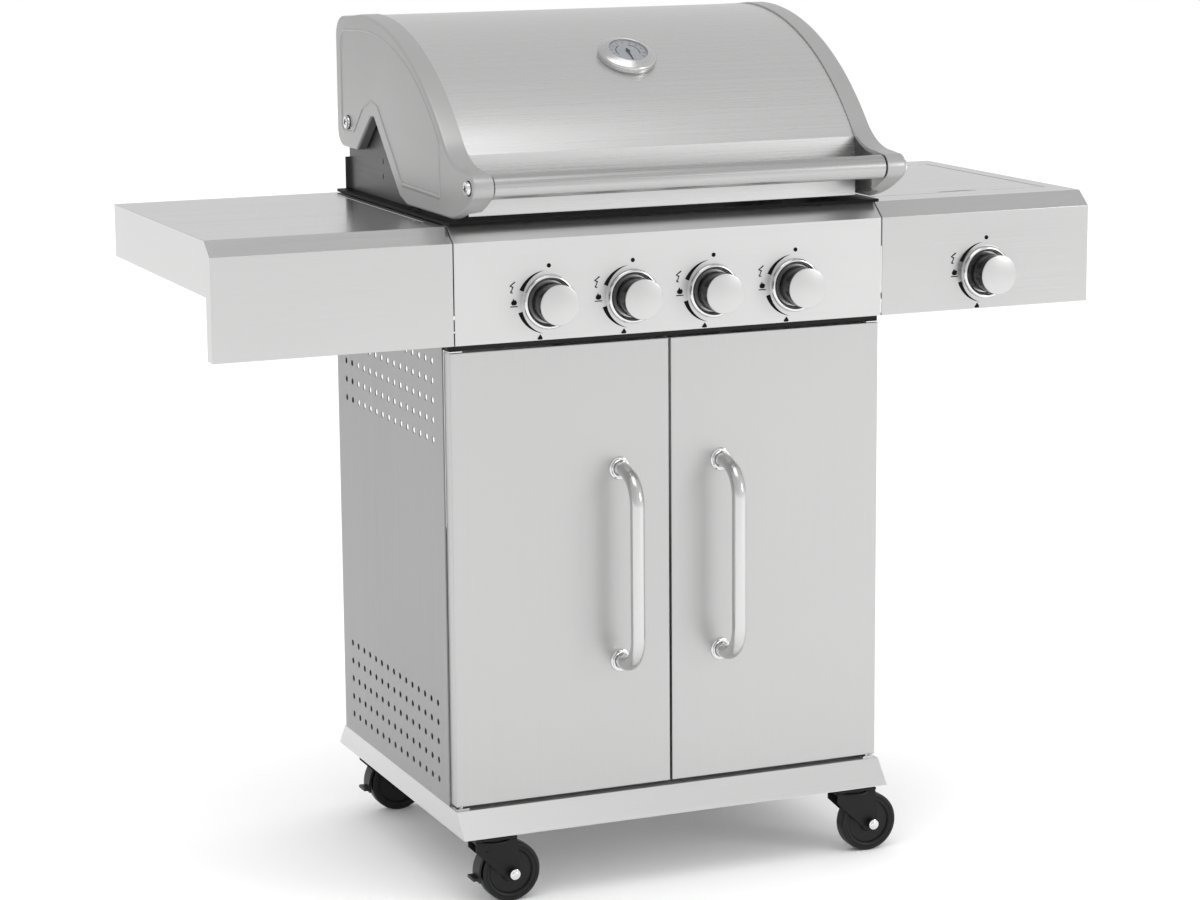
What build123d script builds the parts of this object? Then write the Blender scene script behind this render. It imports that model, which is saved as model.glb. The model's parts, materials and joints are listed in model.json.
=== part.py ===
from build123d import *
import os
from math import atan2, cos, degrees, radians, sin, sqrt

# Gas barbecue grill on a wheeled cabinet. Millimetres, +X right, +Y to the back, +Z up.
# The origin is on the ground, below the centre of the bounding box.

os.makedirs("parts", exist_ok=True)

# ---- driving dimensions ----
front = -204.4             # y of the doors' front face
sheet = 1.2                # steel sheet
run = 0.05                 # radial running clearance of a pin in a hole
gap = 0.3                  # clearance between bodies that move past each other

cabinet_w = 645.2          # over the side panels
cabinet_y0 = front + 24.6  # side panels' front edge
cabinet_y1 = front + 470.7
deck_z = 131.2             # top of the base tray
plinth_z = 98.0            # bottom edge of the base tray
plinth_y0 = front - 4.8
plinth_y1 = front + 475.6
flare = 28.9               # how far the plinth slopes out at the front and the back

door_total_w = 640.0
door_gap = 3.2
door_d = 24.0
door_z0 = 136.0
door_z1 = 764.0
door_pin_x = 311.0
door_pin_y = front + 10.0
door_pin_r = 3.0
handle_x = 76.0
handle_z0 = 318.0
handle_z1 = 589.0
handle_r = 10.0
handle_reach = 61.0

shelf_x = 649.0            # outer end of the shelves
seam_x = 318.5             # inner ends of the shelves
seam = 1.8                 # open joint between the centre panel and a shelf
shelf_z = 932.8            # shelf top
shelf_y1 = front + 466.0
chamfer_y = front + 11.5
panel_y = front - 13.5     # vertical face of the control panel
panel_top = 912.7
panel_z = 775.6            # lower edge of the control panel
skirt_z = 859.0

knob_xs = [-182.0, -60.0, 60.0, 184.0, 484.0]
knob_z = 827.0
knob_r = 27.5
knob_depth = 33.0
knob_stand = 6.0           # from the panel to the back of the knob
stem_r = 4.0
bezel_r = 37.5

lid_x = 287.0              # half width of the lid's curved sheet
cap_x = 316.0              # outer faces of the end caps
hinge_y = front + 416.0
hinge_z = 1038.0
arc_y = front + 357.6      # centre of the lid's curve
arc_z = 750.8
arc_r = 440.8
crease_y = front + 12.5
lid_front_z = 944.0
lid_back_y = front + 464.0
lid_back_z = 1010.0
bar_y = front - 71.4       # lid handle
bar_z = 991.1
bar_r = 16.0
nose_r = 17.5              # rounded nose of the caps around the handle
bolt_r = 4.0

wing_x = 299.2             # outer faces of the firebox sides
box_y0 = front + 62.0
box_y1 = front + 464.0
box_top = 934.0

burner_xs = knob_xs[:4]
main_y = front + 25        # gas manifold
main_z = 797.0
inlet_x = -150.0           # hose barb, pointing to the back below the firebox
inlet_y = front + 36.0
inlet_z = 762.0
inlet_r = 4.6
neck = 8.0                 # plain length of the barb's neck
barb = 6.0                 # length of one of its four barbs
burner_r = 14.0
burner_y0 = front + 50.0
burner_y1 = front + 440.0
burner_wall = 1.2

well_x0, well_x1 = 345.0, 623.0
well_y0, well_y1 = front + 63.0, front + 419.0
cover_x0, cover_x1 = 348.0, 620.0
cover_y0, cover_y1 = front + 66.0, front + 415.0

caster_x = 275.6
caster_ys = [front - 11.0, front + 453.0]
wheel_r = 42.6
wheel_w = 24.0
trail = 25.0               # wheel axle behind the swivel axis
axle_r = 4.0

written = []


def save(part, label):
    part.label = label
    export_step(part, "parts/" + label + ".step")
    written.append(label)


def bent_sheet(path, thickness, x0, x1, side=Side.RIGHT):
    """Sheet folded along a (y, z) path and running from x0 to x1."""
    with BuildPart() as bent:
        with BuildSketch(Plane.YZ.offset(x0)):
            with BuildLine():
                Polyline(*path)
                offset(amount=thickness, side=side)
            make_face()
        extrude(amount=x1 - x0)
    return bent.part


def block(x0, x1, y0, y1, z0, z1):
    """Plain box between two corners."""
    centre = ((x0 + x1) / 2, (y0 + y1) / 2, (z0 + z1) / 2)
    with BuildPart() as plain:
        with Locations(centre):
            Box(x1 - x0, y1 - y0, z1 - z0)
    return plain.part


# ---- base tray: flat deck, sides upright, front and back sloping out, lip turned in below ----
half_w = cabinet_w / 2
with BuildPart() as base_tray:
    with BuildSketch(Plane.YZ.offset(-half_w)):
        with BuildLine():
            Polyline((plinth_y0, deck_z), (plinth_y1, deck_z), (plinth_y1 + flare, plinth_z),
                     (plinth_y0 - flare, plinth_z), close=True)
        make_face()
    extrude(amount=cabinet_w)
    offset(amount=-sheet, openings=base_tray.faces().sort_by(Axis.Z)[0])
    with BuildSketch(Plane.XY.offset(plinth_z)):
        tray_mid = (plinth_y0 + plinth_y1) / 2
        lip_d = plinth_y1 - plinth_y0 + 2 * flare - 2 * sheet
        with Locations((0, tray_mid)):
            Rectangle(cabinet_w - sheet, lip_d)
            Rectangle(cabinet_w - 24, lip_d - 22, mode=Mode.SUBTRACT)
    extrude(amount=sheet)
save(base_tray.part, "base_tray")

# ---- caster rails under the deck, and the casters' mounting plates ----
rail_z = plinth_z - 1.5
with BuildPart() as caster_rails:
    for side in (-1, 1):
        x = side * caster_x
        add(block(x - 35, x + 35, front - 25, front + 495, rail_z, plinth_z))
        for edge in (-33.5, 32):
            add(block(x + edge, x + edge + 1.5, front + 2, front + 468, plinth_z, deck_z - sheet))
save(caster_rails.part, "caster_rails")

plate_t = 3.0
plate_z = rail_z - plate_t
fork_top = plate_z - 2.5
race_t = 2.2               # swivel race under each plate
king_z = 86.0              # lower end of the swivel pin
king_r = 5.0
with BuildPart() as caster_plates:
    for side in (-1, 1):
        for y in caster_ys:
            with Locations((side * caster_x, y, plate_z + plate_t / 2)):
                Box(60, 44, plate_t)
            with Locations((side * caster_x, y, plate_z - race_t / 2)):
                Cylinder(22, race_t)
            with Locations((side * caster_x, y, (plate_z + king_z) / 2)):
                Cylinder(king_r, plate_z - king_z)
            with Locations((side * caster_x, y, king_z - 0.4)):
                Cylinder(7.5, 1.6)
save(caster_plates.part, "caster_plates")

# ---- cabinet: side panels with two fields of vent holes, rear panel, front beam ----
vent_columns, vent_rows = 15, 5
vent_dy, vent_dz = 26.2, 27.1
vent_y = cabinet_y1 - 40.2 - vent_dy * (vent_columns - 1) / 2
vent_z0 = [160.5, 637.3]
side_top = shelf_z - sheet
vent_r = 4.6
rear_top = 420.0            # upper edge of the rear panel
beam_z0, beam_z1 = 766.0, 790.0
with BuildPart() as left_side_panel:
    add(block(-half_w, -half_w + sheet, cabinet_y0, cabinet_y1, deck_z, side_top))
    add(block(-half_w + sheet, -half_w + 2 * sheet, cabinet_y0, cabinet_y0 + 16, deck_z, panel_z))
    add(block(-half_w, -half_w + 28, cabinet_y1 - sheet, cabinet_y1, deck_z, side_top))
    for z0 in vent_z0:
        with Locations(Plane((-half_w, vent_y, z0 + 2 * vent_dz), x_dir=(0, 1, 0), z_dir=(1, 0, 0))):
            with GridLocations(vent_dy, vent_dz, vent_columns, vent_rows):
                Cylinder(vent_r, 6, mode=Mode.SUBTRACT)
save(left_side_panel.part, "left_side_panel")

with BuildPart() as right_side_panel:
    mirror(left_side_panel.part, about=Plane.YZ)
    with Locations(Plane((half_w, main_y, main_z), z_dir=(1, 0, 0))):
        Cylinder(6, 8, mode=Mode.SUBTRACT)
save(right_side_panel.part, "right_side_panel")

with BuildPart() as rear_panel:
    add(block(-half_w + 2, half_w - 2, cabinet_y1, cabinet_y1 + sheet, deck_z, rear_top))
    add(block(-half_w + 30, half_w - 30, cabinet_y1 - 14, cabinet_y1, rear_top - sheet, rear_top))
save(rear_panel.part, "rear_panel")

beam_x = half_w - sheet
with BuildPart() as front_beam:
    add(block(-beam_x, beam_x, front + 6, front + 7.5, beam_z0, beam_z1))
    add(block(-beam_x, beam_x, front + 7.5, front + 24.4, beam_z0, beam_z0 + 1.5))
    for side in (-1, 1):
        x0, x1 = sorted((side * (beam_x - sheet), side * (beam_x - 2.7)))
        add(block(x0, x1, front + 7.5, cabinet_y0 + 16, beam_z0, beam_z1))
save(front_beam.part, "front_beam")

# ---- door brackets: pins at the four corners, and two magnetic catches ----
with BuildPart() as door_brackets:
    for side in (-1, 1):
        x = side * door_pin_x
        with Locations((x, door_pin_y, 765.3)):
            Box(18, 18, 1.4)
        with Locations((x, door_pin_y, 758.3)):
            Cylinder(door_pin_r, 12.6)
        with Locations((x, door_pin_y, deck_z + 1)):
            Box(18, 18, 2)
        with Locations((x, door_pin_y, deck_z + 8)):
            Cylinder(door_pin_r, 12)
        with Locations((side * 24, front + 31.5, 760)):
            Box(26, 14, 12)
save(door_brackets.part, "door_brackets")


# ---- doors: folded pan, back panel and bow handle ----
def door_pan(side):
    """Outer pan, open at the back, with holes for the pivot pins."""
    inner = door_gap / 2
    outer = door_total_w / 2
    mid = side * (inner + outer) / 2
    width = outer - inner
    height = door_z1 - door_z0
    with BuildPart() as pan:
        with Locations((mid, front + door_d / 2, (door_z0 + door_z1) / 2)):
            Box(width, door_d, height)
        fillet(pan.faces().sort_by(Axis.Y)[0].edges(), 1.5)
        offset(amount=-sheet, openings=pan.faces().sort_by(Axis.Y)[-1])
        with Locations((side * door_pin_x, door_pin_y, (door_z0 + door_z1) / 2)):
            Cylinder(door_pin_r + run, height + 2, mode=Mode.SUBTRACT)
    return pan.part


def door_back(side):
    """Flat panel that closes the pan."""
    inner = door_gap / 2 + sheet
    outer = door_total_w / 2 - sheet
    x0, x1 = sorted((side * inner, side * outer))
    return block(x0, x1, front + door_d - sheet, front + door_d, door_z0 + sheet, door_z1 - sheet)


def door_handle(side):
    """Bow of round tube on two rosettes."""
    x = side * handle_x
    bend = 42.0
    with BuildPart() as bow:
        with BuildLine():
            FilletPolyline((x, front, handle_z1), (x, front - handle_reach, handle_z1),
                           (x, front - handle_reach, handle_z0), (x, front, handle_z0), radius=bend)
        with BuildSketch(Plane((x, front, handle_z1), x_dir=(1, 0, 0), z_dir=(0, -1, 0))):
            Circle(handle_r)
        sweep()
        for z in (handle_z0, handle_z1):
            with BuildSketch(Plane((x, front, z), x_dir=(1, 0, 0), z_dir=(0, -1, 0))):
                Circle(16)
            extrude(amount=4)
    return bow.part


for side, hand in ((-1, "left"), (1, "right")):
    save(door_pan(side), hand + "_door")
    save(door_back(side), hand + "_door_back")
    save(door_handle(side), hand + "_door_handle")

# ---- control panel: chamfered top edge, upright face, bottom edge turned in ----
facade = [(front + 28, shelf_z), (chamfer_y, shelf_z), (panel_y, panel_top), (panel_y, panel_z),
          (front + 5, panel_z)]
with BuildPart() as control_panel:
    add(bent_sheet(facade, sheet, -seam_x + seam, seam_x - seam, Side.LEFT))
    for x in knob_xs[:4]:
        with Locations(Plane((x, panel_y, knob_z), z_dir=(0, -1, 0))):
            Cylinder(9, 8, mode=Mode.SUBTRACT)
save(control_panel.part, "control_panel")


# ---- side shelves: top, outer skirt and facade folded from one sheet ----
def shelf(side, burner):
    """Side shelf. The one with the side burner has a rectangular opening in its top."""
    x0, x1 = sorted((side * seam_x, side * shelf_x))
    out0, out1 = sorted((side * shelf_x, side * (shelf_x - sheet)))
    with BuildPart() as folded:
        add(bent_sheet([(shelf_y1, shelf_z)] + facade[1:], sheet, x0, x1, Side.LEFT))
        add(block(out0, out1, chamfer_y + 2, shelf_y1, skirt_z, shelf_z))
        wall0, wall1 = sorted((side * half_w, side * (half_w + sheet)))
        back0, back1 = sorted((side * half_w, side * shelf_x))
        add(block(back0, back1, shelf_y1 - sheet, shelf_y1, skirt_z, shelf_z))
        add(block(wall0, wall1, front + 40, shelf_y1, skirt_z, shelf_z))
        with BuildSketch(Plane.YZ.offset(out0)):
            with BuildLine():
                Polyline((chamfer_y + 2, shelf_z), (chamfer_y, shelf_z), (panel_y, panel_top),
                         (panel_y, panel_z), (front + 9.5, panel_z), (front + 9.5, skirt_z),
                         (chamfer_y + 2, skirt_z), close=True)
            make_face()
        extrude(amount=sheet)
        if burner:
            with Locations(((well_x0 + well_x1) / 2, (well_y0 + well_y1) / 2, shelf_z)):
                Box(well_x1 - well_x0, well_y1 - well_y0, 8, mode=Mode.SUBTRACT)
            with Locations(Plane((knob_xs[4], panel_y, knob_z), z_dir=(0, -1, 0))):
                Cylinder(9, 8, mode=Mode.SUBTRACT)
    return folded.part


save(shelf(-1, False), "left_shelf")
save(shelf(1, True), "right_shelf")

# ---- firebox: side walls rise behind the lid's notches and carry its hinge ----
floor_x = 60.0             # half width of the firebox's flat floor
floor_z = 780.0
eave_z = 805.0             # where the sloping floor meets the side walls


def under_firebox(x):
    """Height of the firebox's sloping underside at distance x from the middle."""
    return floor_z + (eave_z - floor_z) * (x - floor_x) / (wing_x - floor_x)


tab_w = 7.0                # tabs turned out at the back of the sides
tab_z0, tab_z1 = 938.0, 984.0   # their top stays below the raised lid's caps
back_z = 972.0             # top of the back wall
rack_hook_zs = (969, 990)  # slots for the warming rack


with BuildPart() as firebox:
    with BuildSketch(Plane.XZ.offset(-box_y0)):
        with BuildLine():
            Polyline((-wing_x, box_top), (-wing_x, eave_z), (-floor_x, floor_z), (floor_x, floor_z),
                     (wing_x, eave_z), (wing_x, box_top), close=True)
        make_face()
    extrude(amount=-(box_y1 - box_y0))
    offset(amount=-sheet, openings=firebox.faces().sort_by(Axis.Z)[-1])
    with Locations((0, (box_y0 + box_y1) / 2, floor_z)):
        Box(100, 240, 6, mode=Mode.SUBTRACT)
    for side in (-1, 1):
        with BuildSketch(Plane.YZ.offset(side * wing_x)):
            with BuildLine():
                Polyline((front + 200, box_top - 4), (front + 200, 945), (front + 300, 1020),
                         (front + 362, 1057), (hinge_y, 1064), (front + 440, 1046),
                         (box_y1, 1000), (box_y1, box_top - 4), close=True)
            make_face()
        extrude(amount=-side * sheet)
        x0, x1 = sorted((side * (wing_x - sheet), side * (wing_x + tab_w)))
        add(block(x0, x1, box_y1 - sheet, box_y1, tab_z0, tab_z1))
        with Locations(Plane((side * wing_x, hinge_y, hinge_z), z_dir=(1, 0, 0))):
            Cylinder(bolt_r + run, 8, mode=Mode.SUBTRACT)
        for z in rack_hook_zs:
            with Locations((side * wing_x, front + 316, z)):
                Box(8, 3, 7, mode=Mode.SUBTRACT)
    add(block(-wing_x, wing_x, box_y1 - sheet, box_y1, box_top - 4, back_z))
    for x in burner_xs:
        with Locations(Plane((x, box_y0, knob_z), z_dir=(0, 1, 0))):
            Cylinder(burner_r + 1, 8, mode=Mode.SUBTRACT)
save(firebox.part, "firebox")

rim_z = box_top + 4
with BuildPart() as firebox_rim:
    rim_y0, rim_y1 = front - 2, front + 467
    with Locations((0, (rim_y0 + rim_y1) / 2, (box_top + rim_z) / 2)):
        Box(2 * seam_x, rim_y1 - rim_y0, rim_z - box_top)
    add(block(-wing_x - 0.2, wing_x + 0.2, box_y0 - 4, box_y1 + 0.2, box_top - 1, rim_z + 1),
        mode=Mode.SUBTRACT)
    add(block(-wing_x - tab_w - 0.2, wing_x + tab_w + 0.2, box_y1 - sheet - 0.2, box_y1 + 0.2, box_top - 1, rim_z + 1),
        mode=Mode.SUBTRACT)
save(firebox_rim.part, "firebox_rim")

# ---- burners, flame tamers, cooking grates and warming rack ----
with BuildPart() as burners:
    for x in burner_xs:
        with Locations(Plane((x, (burner_y0 + burner_y1) / 2, knob_z), z_dir=(0, 1, 0))):
            Cylinder(burner_r, burner_y1 - burner_y0)
        with Locations(Plane((x, (burner_y0 + burner_y1) / 2 - 3, knob_z), z_dir=(0, 1, 0))):
            Cylinder(burner_r - burner_wall, burner_y1 - burner_y0 - 5, mode=Mode.SUBTRACT)
        with Locations(Plane((x, box_y0 - 1, knob_z), z_dir=(0, 1, 0))):
            Cylinder(20, 2)
            Cylinder(burner_r - burner_wall, 4, mode=Mode.SUBTRACT)
        add(block(x - 12, x + 12, burner_y1, box_y1 - sheet, knob_z - 2, knob_z + 2))
        with Locations((x, (box_y0 + burner_y1) / 2 + 6, knob_z + 7)):
            with GridLocations(18, 20, 2, 17):
                Cylinder(1.4, 12, mode=Mode.SUBTRACT)
save(burners.part, "burners")

with BuildPart() as flame_tamers:
    for x in burner_xs:
        with BuildSketch(Plane.XZ.offset(-(box_y0 + sheet))):
            with BuildLine():
                Polyline((x - 52, 862), (x, 886), (x + 52, 862), (x + 52, 860.6), (x, 884.6),
                         (x - 52, 860.6), close=True)
            make_face()
        extrude(amount=-(box_y1 - box_y0 - 2 * sheet))
save(flame_tamers.part, "flame_tamers")

grate_z = 912.0
grate_bars = 17
grate_y0, grate_y1 = box_y0 + sheet, box_y1 - sheet


def cooking_grate(x0, x1, bars):
    """Cast frame with round-topped bars running front to back."""
    width = x1 - x0
    step = (width - 12) / (bars - 1)
    with BuildPart() as grate:
        for y0 in (grate_y0, (grate_y0 + grate_y1) / 2 - 5, grate_y1 - 10):
            add(block(x0, x1, y0, y0 + 10, grate_z - 12, grate_z - 2))
        for i in range(bars):
            x = x0 + 6 + i * step
            add(block(x - 3.5, x + 3.5, grate_y0, grate_y1, grate_z - 8, grate_z))
    return grate.part


inner_x = wing_x - sheet
save(cooking_grate(-inner_x, -1, grate_bars), "left_grate")
save(cooking_grate(1, inner_x, grate_bars), "right_grate")

rack_z = 1010.0
rack_y0, rack_y1 = front + 235, front + 352
rack_x = 276.0
rack_rods = 28
with BuildPart() as warming_rack:
    for y in (rack_y0, rack_y1):
        with Locations(Plane((0, y, rack_z), z_dir=(1, 0, 0))):
            Cylinder(3, 2 * rack_x)
    for i in range(rack_rods):
        x = -rack_x + 6 + i * (2 * rack_x - 12) / (rack_rods - 1)
        with Locations(Plane((x, (rack_y0 + rack_y1) / 2, rack_z + 3), z_dir=(0, 1, 0))):
            Cylinder(1.6, rack_y1 - rack_y0)
    for x in (-rack_x + 3, rack_x - 3):
        for y in (rack_y0 + 8, rack_y1 - 8):
            with Locations((x, y, (grate_z + rack_z) / 2)):
                Cylinder(2.5, rack_z - grate_z)
        add(block(x - 2.5, x + 2.5, rack_y0, rack_y1, rack_z - 2.5, rack_z + 2.5))
save(warming_rack.part, "warming_rack")

# ---- gas manifold with a hose barb at its end, feed to the side burner, and the five valves ----
manifold_r = 8.0
manifold_x = 300.0
feed_r = 4.5               # thinner pipe to the side burner
with BuildPart() as gas_manifold:
    with Locations(Plane((0, main_y, main_z), z_dir=(1, 0, 0))):
        Cylinder(manifold_r, 2 * manifold_x)
    with Locations(Plane((390, main_y, main_z), z_dir=(1, 0, 0))):
        Cylinder(feed_r, 200)
    for x in (-304, 492):
        with Locations(Plane((x, main_y, main_z), z_dir=(1, 0, 0))):
            Cylinder(manifold_r, 8)
    with Locations((inlet_x, (main_y + inlet_y) / 2, main_z)):
        Box(14, inlet_y - main_y + 12, 14)
    with Locations((inlet_x, inlet_y, (main_z + inlet_z) / 2)):
        Cylinder(5, main_z - inlet_z)
    with Locations((inlet_x, inlet_y, inlet_z)):
        Box(14, 14, 14)
    neck_y0 = inlet_y + 7
    with Locations(Plane((inlet_x, neck_y0 + neck / 2, inlet_z), z_dir=(0, 1, 0))):
        Cylinder(inlet_r, neck)
    for i in range(4):
        barb_y = neck_y0 + neck + barb * (i + 0.5)
        with Locations(Plane((inlet_x, barb_y, inlet_z), z_dir=(0, 1, 0))):
            Cone(inlet_r, inlet_r - 1, barb)
save(gas_manifold.part, "gas_manifold")

valve_y0, valve_y1 = front + 3, front + 40
with BuildPart() as burner_valves:
    for x in knob_xs:
        add(block(x - 11, x + 11, valve_y0, valve_y1, knob_z - 11, knob_z + 11))
        with Locations(Plane((x, valve_y1 + 4, knob_z), z_dir=(0, 1, 0))):
            Cylinder(3.5, 8)
        with Locations((x, main_y, (main_z + knob_z) / 2 - 2)):
            Cylinder(6, 20)
        with Locations(Plane((x, main_y, main_z), z_dir=(1, 0, 0))):
            Cylinder(manifold_r, 60, mode=Mode.SUBTRACT)
        with Locations(Plane((x, valve_y0 + 15, knob_z), z_dir=(0, 1, 0))):
            Cylinder(stem_r + run, 30.2, mode=Mode.SUBTRACT)
save(burner_valves.part, "burner_valves")

# ---- knobs on sliding valve stems, with dished bezels on the panel ----
knob_back = panel_y - knob_stand
stem_depth = 22.0          # how far the stem reaches into the knob
stem_end = knob_back - stem_depth
with BuildPart() as knob_bezels:
    for x in knob_xs:
        with BuildSketch(Plane((x, panel_y, knob_z), x_dir=(1, 0, 0), z_dir=(0, 0, 1))):
            with BuildLine():
                Polyline((29.5, 0), (bezel_r, 0), (bezel_r - 0.6, -4.5), (bezel_r - 3, -6.6),
                         (bezel_r - 5, -6.2), (29.5, -1.4), close=True)
            make_face()
        revolve(axis=Axis((x, panel_y, knob_z), (0, 1, 0)))
save(knob_bezels.part, "knob_bezels")

for number, x in enumerate(knob_xs, start=1):
    with BuildPart() as knob:
        with Locations(Plane((x, knob_back - knob_depth / 2, knob_z), z_dir=(0, -1, 0))):
            Cylinder(knob_r, knob_depth)
        fillet(knob.edges().group_by(Axis.Y)[0], 1.6)
        with Locations(Plane((x, knob_back - stem_depth / 2, knob_z), z_dir=(0, -1, 0))):
            Cylinder(stem_r + run, stem_depth + 2 * gap, mode=Mode.SUBTRACT)
    save(knob.part, f"knob_{number}")
    stem_y1 = valve_y0 + 24
    with BuildPart() as stem:
        with Locations(Plane((x, (stem_end + stem_y1) / 2, knob_z), z_dir=(0, 1, 0))):
            Cylinder(stem_r, stem_y1 - stem_end)
    save(stem.part, f"valve_stem_{number}")


# ---- side burner in the right shelf, below a hinged flush cover ----
well_mid = ((well_x0 + well_x1) / 2, (well_y0 + well_y1) / 2)
well_z = 862.0
cover_z0 = shelf_z - 9.6
pivot_y = cover_y1 - 4.0
pivot_z = shelf_z - 4.4
pivot_r = 2.5
with BuildPart() as side_burner_bowl:
    with Locations((well_mid[0], well_mid[1], (well_z + shelf_z - sheet) / 2)):
        Box(well_x1 - well_x0, well_y1 - well_y0, shelf_z - sheet - well_z)
    offset(amount=-sheet, openings=side_burner_bowl.faces().sort_by(Axis.Z)[-1])
    flange_z = shelf_z - 1.5 * sheet
    with Locations((well_mid[0], well_mid[1], flange_z)):
        Box(well_x1 - well_x0 + 12, well_y1 - well_y0 + 12, sheet)
        Box(well_x1 - well_x0 - 2 * sheet, well_y1 - well_y0 - 2 * sheet, 4, mode=Mode.SUBTRACT)
    with Locations((well_mid[0], well_mid[1], well_z)):
        Cylinder(12, 8, mode=Mode.SUBTRACT)
    for x in (well_x0 + sheet + 3, well_x1 - sheet - 3):
        with Locations(Plane((x, pivot_y, pivot_z), z_dir=(1, 0, 0))):
            Cylinder(pivot_r, 6)
    for x in (well_x0 + sheet + 6, well_x1 - sheet - 6):
        with Locations((x, cover_y0 + 20, cover_z0 - 2)):
            Box(12, 14, 3)
save(side_burner_bowl.part, "side_burner_bowl")

with BuildPart() as side_burner:
    with Locations((well_mid[0], well_mid[1], well_z + sheet + 7)):
        Cylinder(36, 14)
    with Locations((well_mid[0], well_mid[1], well_z + sheet + 18)):
        Cylinder(30, 8)
        with PolarLocations(30, 24):
            Cylinder(1.6, 9, mode=Mode.SUBTRACT)
    with Locations((well_mid[0], well_mid[1], well_z + sheet + 24)):
        Cylinder(33, 4)
    feed_y0 = front + 52
    with Locations(Plane((well_mid[0], (feed_y0 + well_mid[1] + 9) / 2, knob_z), z_dir=(0, 1, 0))):
        Cylinder(9, well_mid[1] + 9 - feed_y0)
    with Locations((well_mid[0], well_mid[1], (knob_z + well_z + sheet) / 2)):
        Cylinder(9, well_z + sheet - knob_z)
save(side_burner.part, "side_burner")

support_z = well_z + 46
with BuildPart() as side_burner_grate:
    with Locations((well_mid[0], well_mid[1], support_z)):
        Cylinder(112, 6)
        Cylinder(105, 8, mode=Mode.SUBTRACT)
    for turn in range(4):
        with Locations(Location(well_mid + (support_z,), (0, 0, 90 * turn + 45))):
            with Locations((72, 0, 2)):
                Box(70, 6, 8)
            with Locations((107, 0, -(support_z - well_z - sheet) / 2)):
                Box(6, 6, support_z - well_z - sheet)
save(side_burner_grate.part, "side_burner_grate")

with BuildPart() as side_burner_cover:
    add(block(cover_x0, cover_x1, cover_y0, cover_y1, cover_z0, shelf_z))
    offset(amount=-sheet, openings=side_burner_cover.faces().sort_by(Axis.Z)[0])
    with Locations(Plane(((cover_x0 + cover_x1) / 2, pivot_y, pivot_z), z_dir=(1, 0, 0))):
        Cylinder(pivot_r + run, cover_x1 - cover_x0 + 4, mode=Mode.SUBTRACT)
save(side_burner_cover.part, "side_burner_cover")


# ---- lid: curved sheet between cast end caps ----
def on_lid(y):
    """Height of the lid's curve at depth y."""
    return arc_z + sqrt(arc_r ** 2 - (y - arc_y) ** 2)


roof_y = front + 412
corner_r = 36.0
lid_front_y = front + 8


def lid_profile(inset):
    """Closed outline of the lid, drawn inset from its outer face."""
    r = arc_r - inset
    start = (crease_y + inset, arc_z + sqrt(r ** 2 - (crease_y + inset - arc_y) ** 2))
    middle_y = front + 180
    middle = (middle_y, arc_z + sqrt(r ** 2 - (middle_y - arc_y) ** 2))
    roof = (roof_y, arc_z + sqrt(r ** 2 - (roof_y - arc_y) ** 2))
    back = lid_back_y - inset
    turn = corner_r - inset
    Polyline((back, lid_back_z - 80), (lid_front_y + inset, lid_back_z - 80),
             (lid_front_y + inset, lid_front_z), start)
    ThreePointArc(start, middle, roof)
    shoulder = (back - turn, roof[1] - 4)
    Line(roof, shoulder)
    corner = (shoulder[0] + turn * sin(radians(45)), shoulder[1] - turn * (1 - cos(radians(45))))
    ThreePointArc(shoulder, corner, (back, shoulder[1] - turn))
    Line((back, shoulder[1] - turn), (back, lid_back_z - 80))


with BuildPart() as lid_skin:
    with BuildSketch(Plane.YZ.offset(-lid_x)):
        with BuildLine():
            lid_profile(0)
        make_face()
        with BuildLine():
            lid_profile(sheet)
        make_face(mode=Mode.SUBTRACT)
        with Locations((lid_back_y, lid_back_z - 60)):
            Rectangle(200, 120, mode=Mode.SUBTRACT)
        with Locations((lid_front_y + 100, lid_front_z - 60)):
            Rectangle(500, 120, mode=Mode.SUBTRACT)
    extrude(amount=2 * lid_x)
    gauge_y = front + 143
    gauge_z = on_lid(gauge_y)
    gauge_tilt = degrees(atan2(gauge_y - arc_y, gauge_z - arc_z))
    gauge_n = (0, sin(radians(gauge_tilt)), cos(radians(gauge_tilt)))
    with Locations(Plane((0, gauge_y, gauge_z), x_dir=(1, 0, 0), z_dir=gauge_n)):
        Cylinder(6, 20, mode=Mode.SUBTRACT)
save(lid_skin.part, "lid_skin")


cap_proud = 2.0            # how far the caps stand above the lid's curve


def over_lid(y):
    """Height of the caps' curved edge at depth y."""
    return arc_z + sqrt((arc_r + cap_proud) ** 2 - (y - arc_y) ** 2)


cap_low_z = 943.5          # straight lower edge of the caps
hump_z = 1053.0            # top of the V notch
heel_z = 1001.0            # lower edge behind the notch


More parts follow.
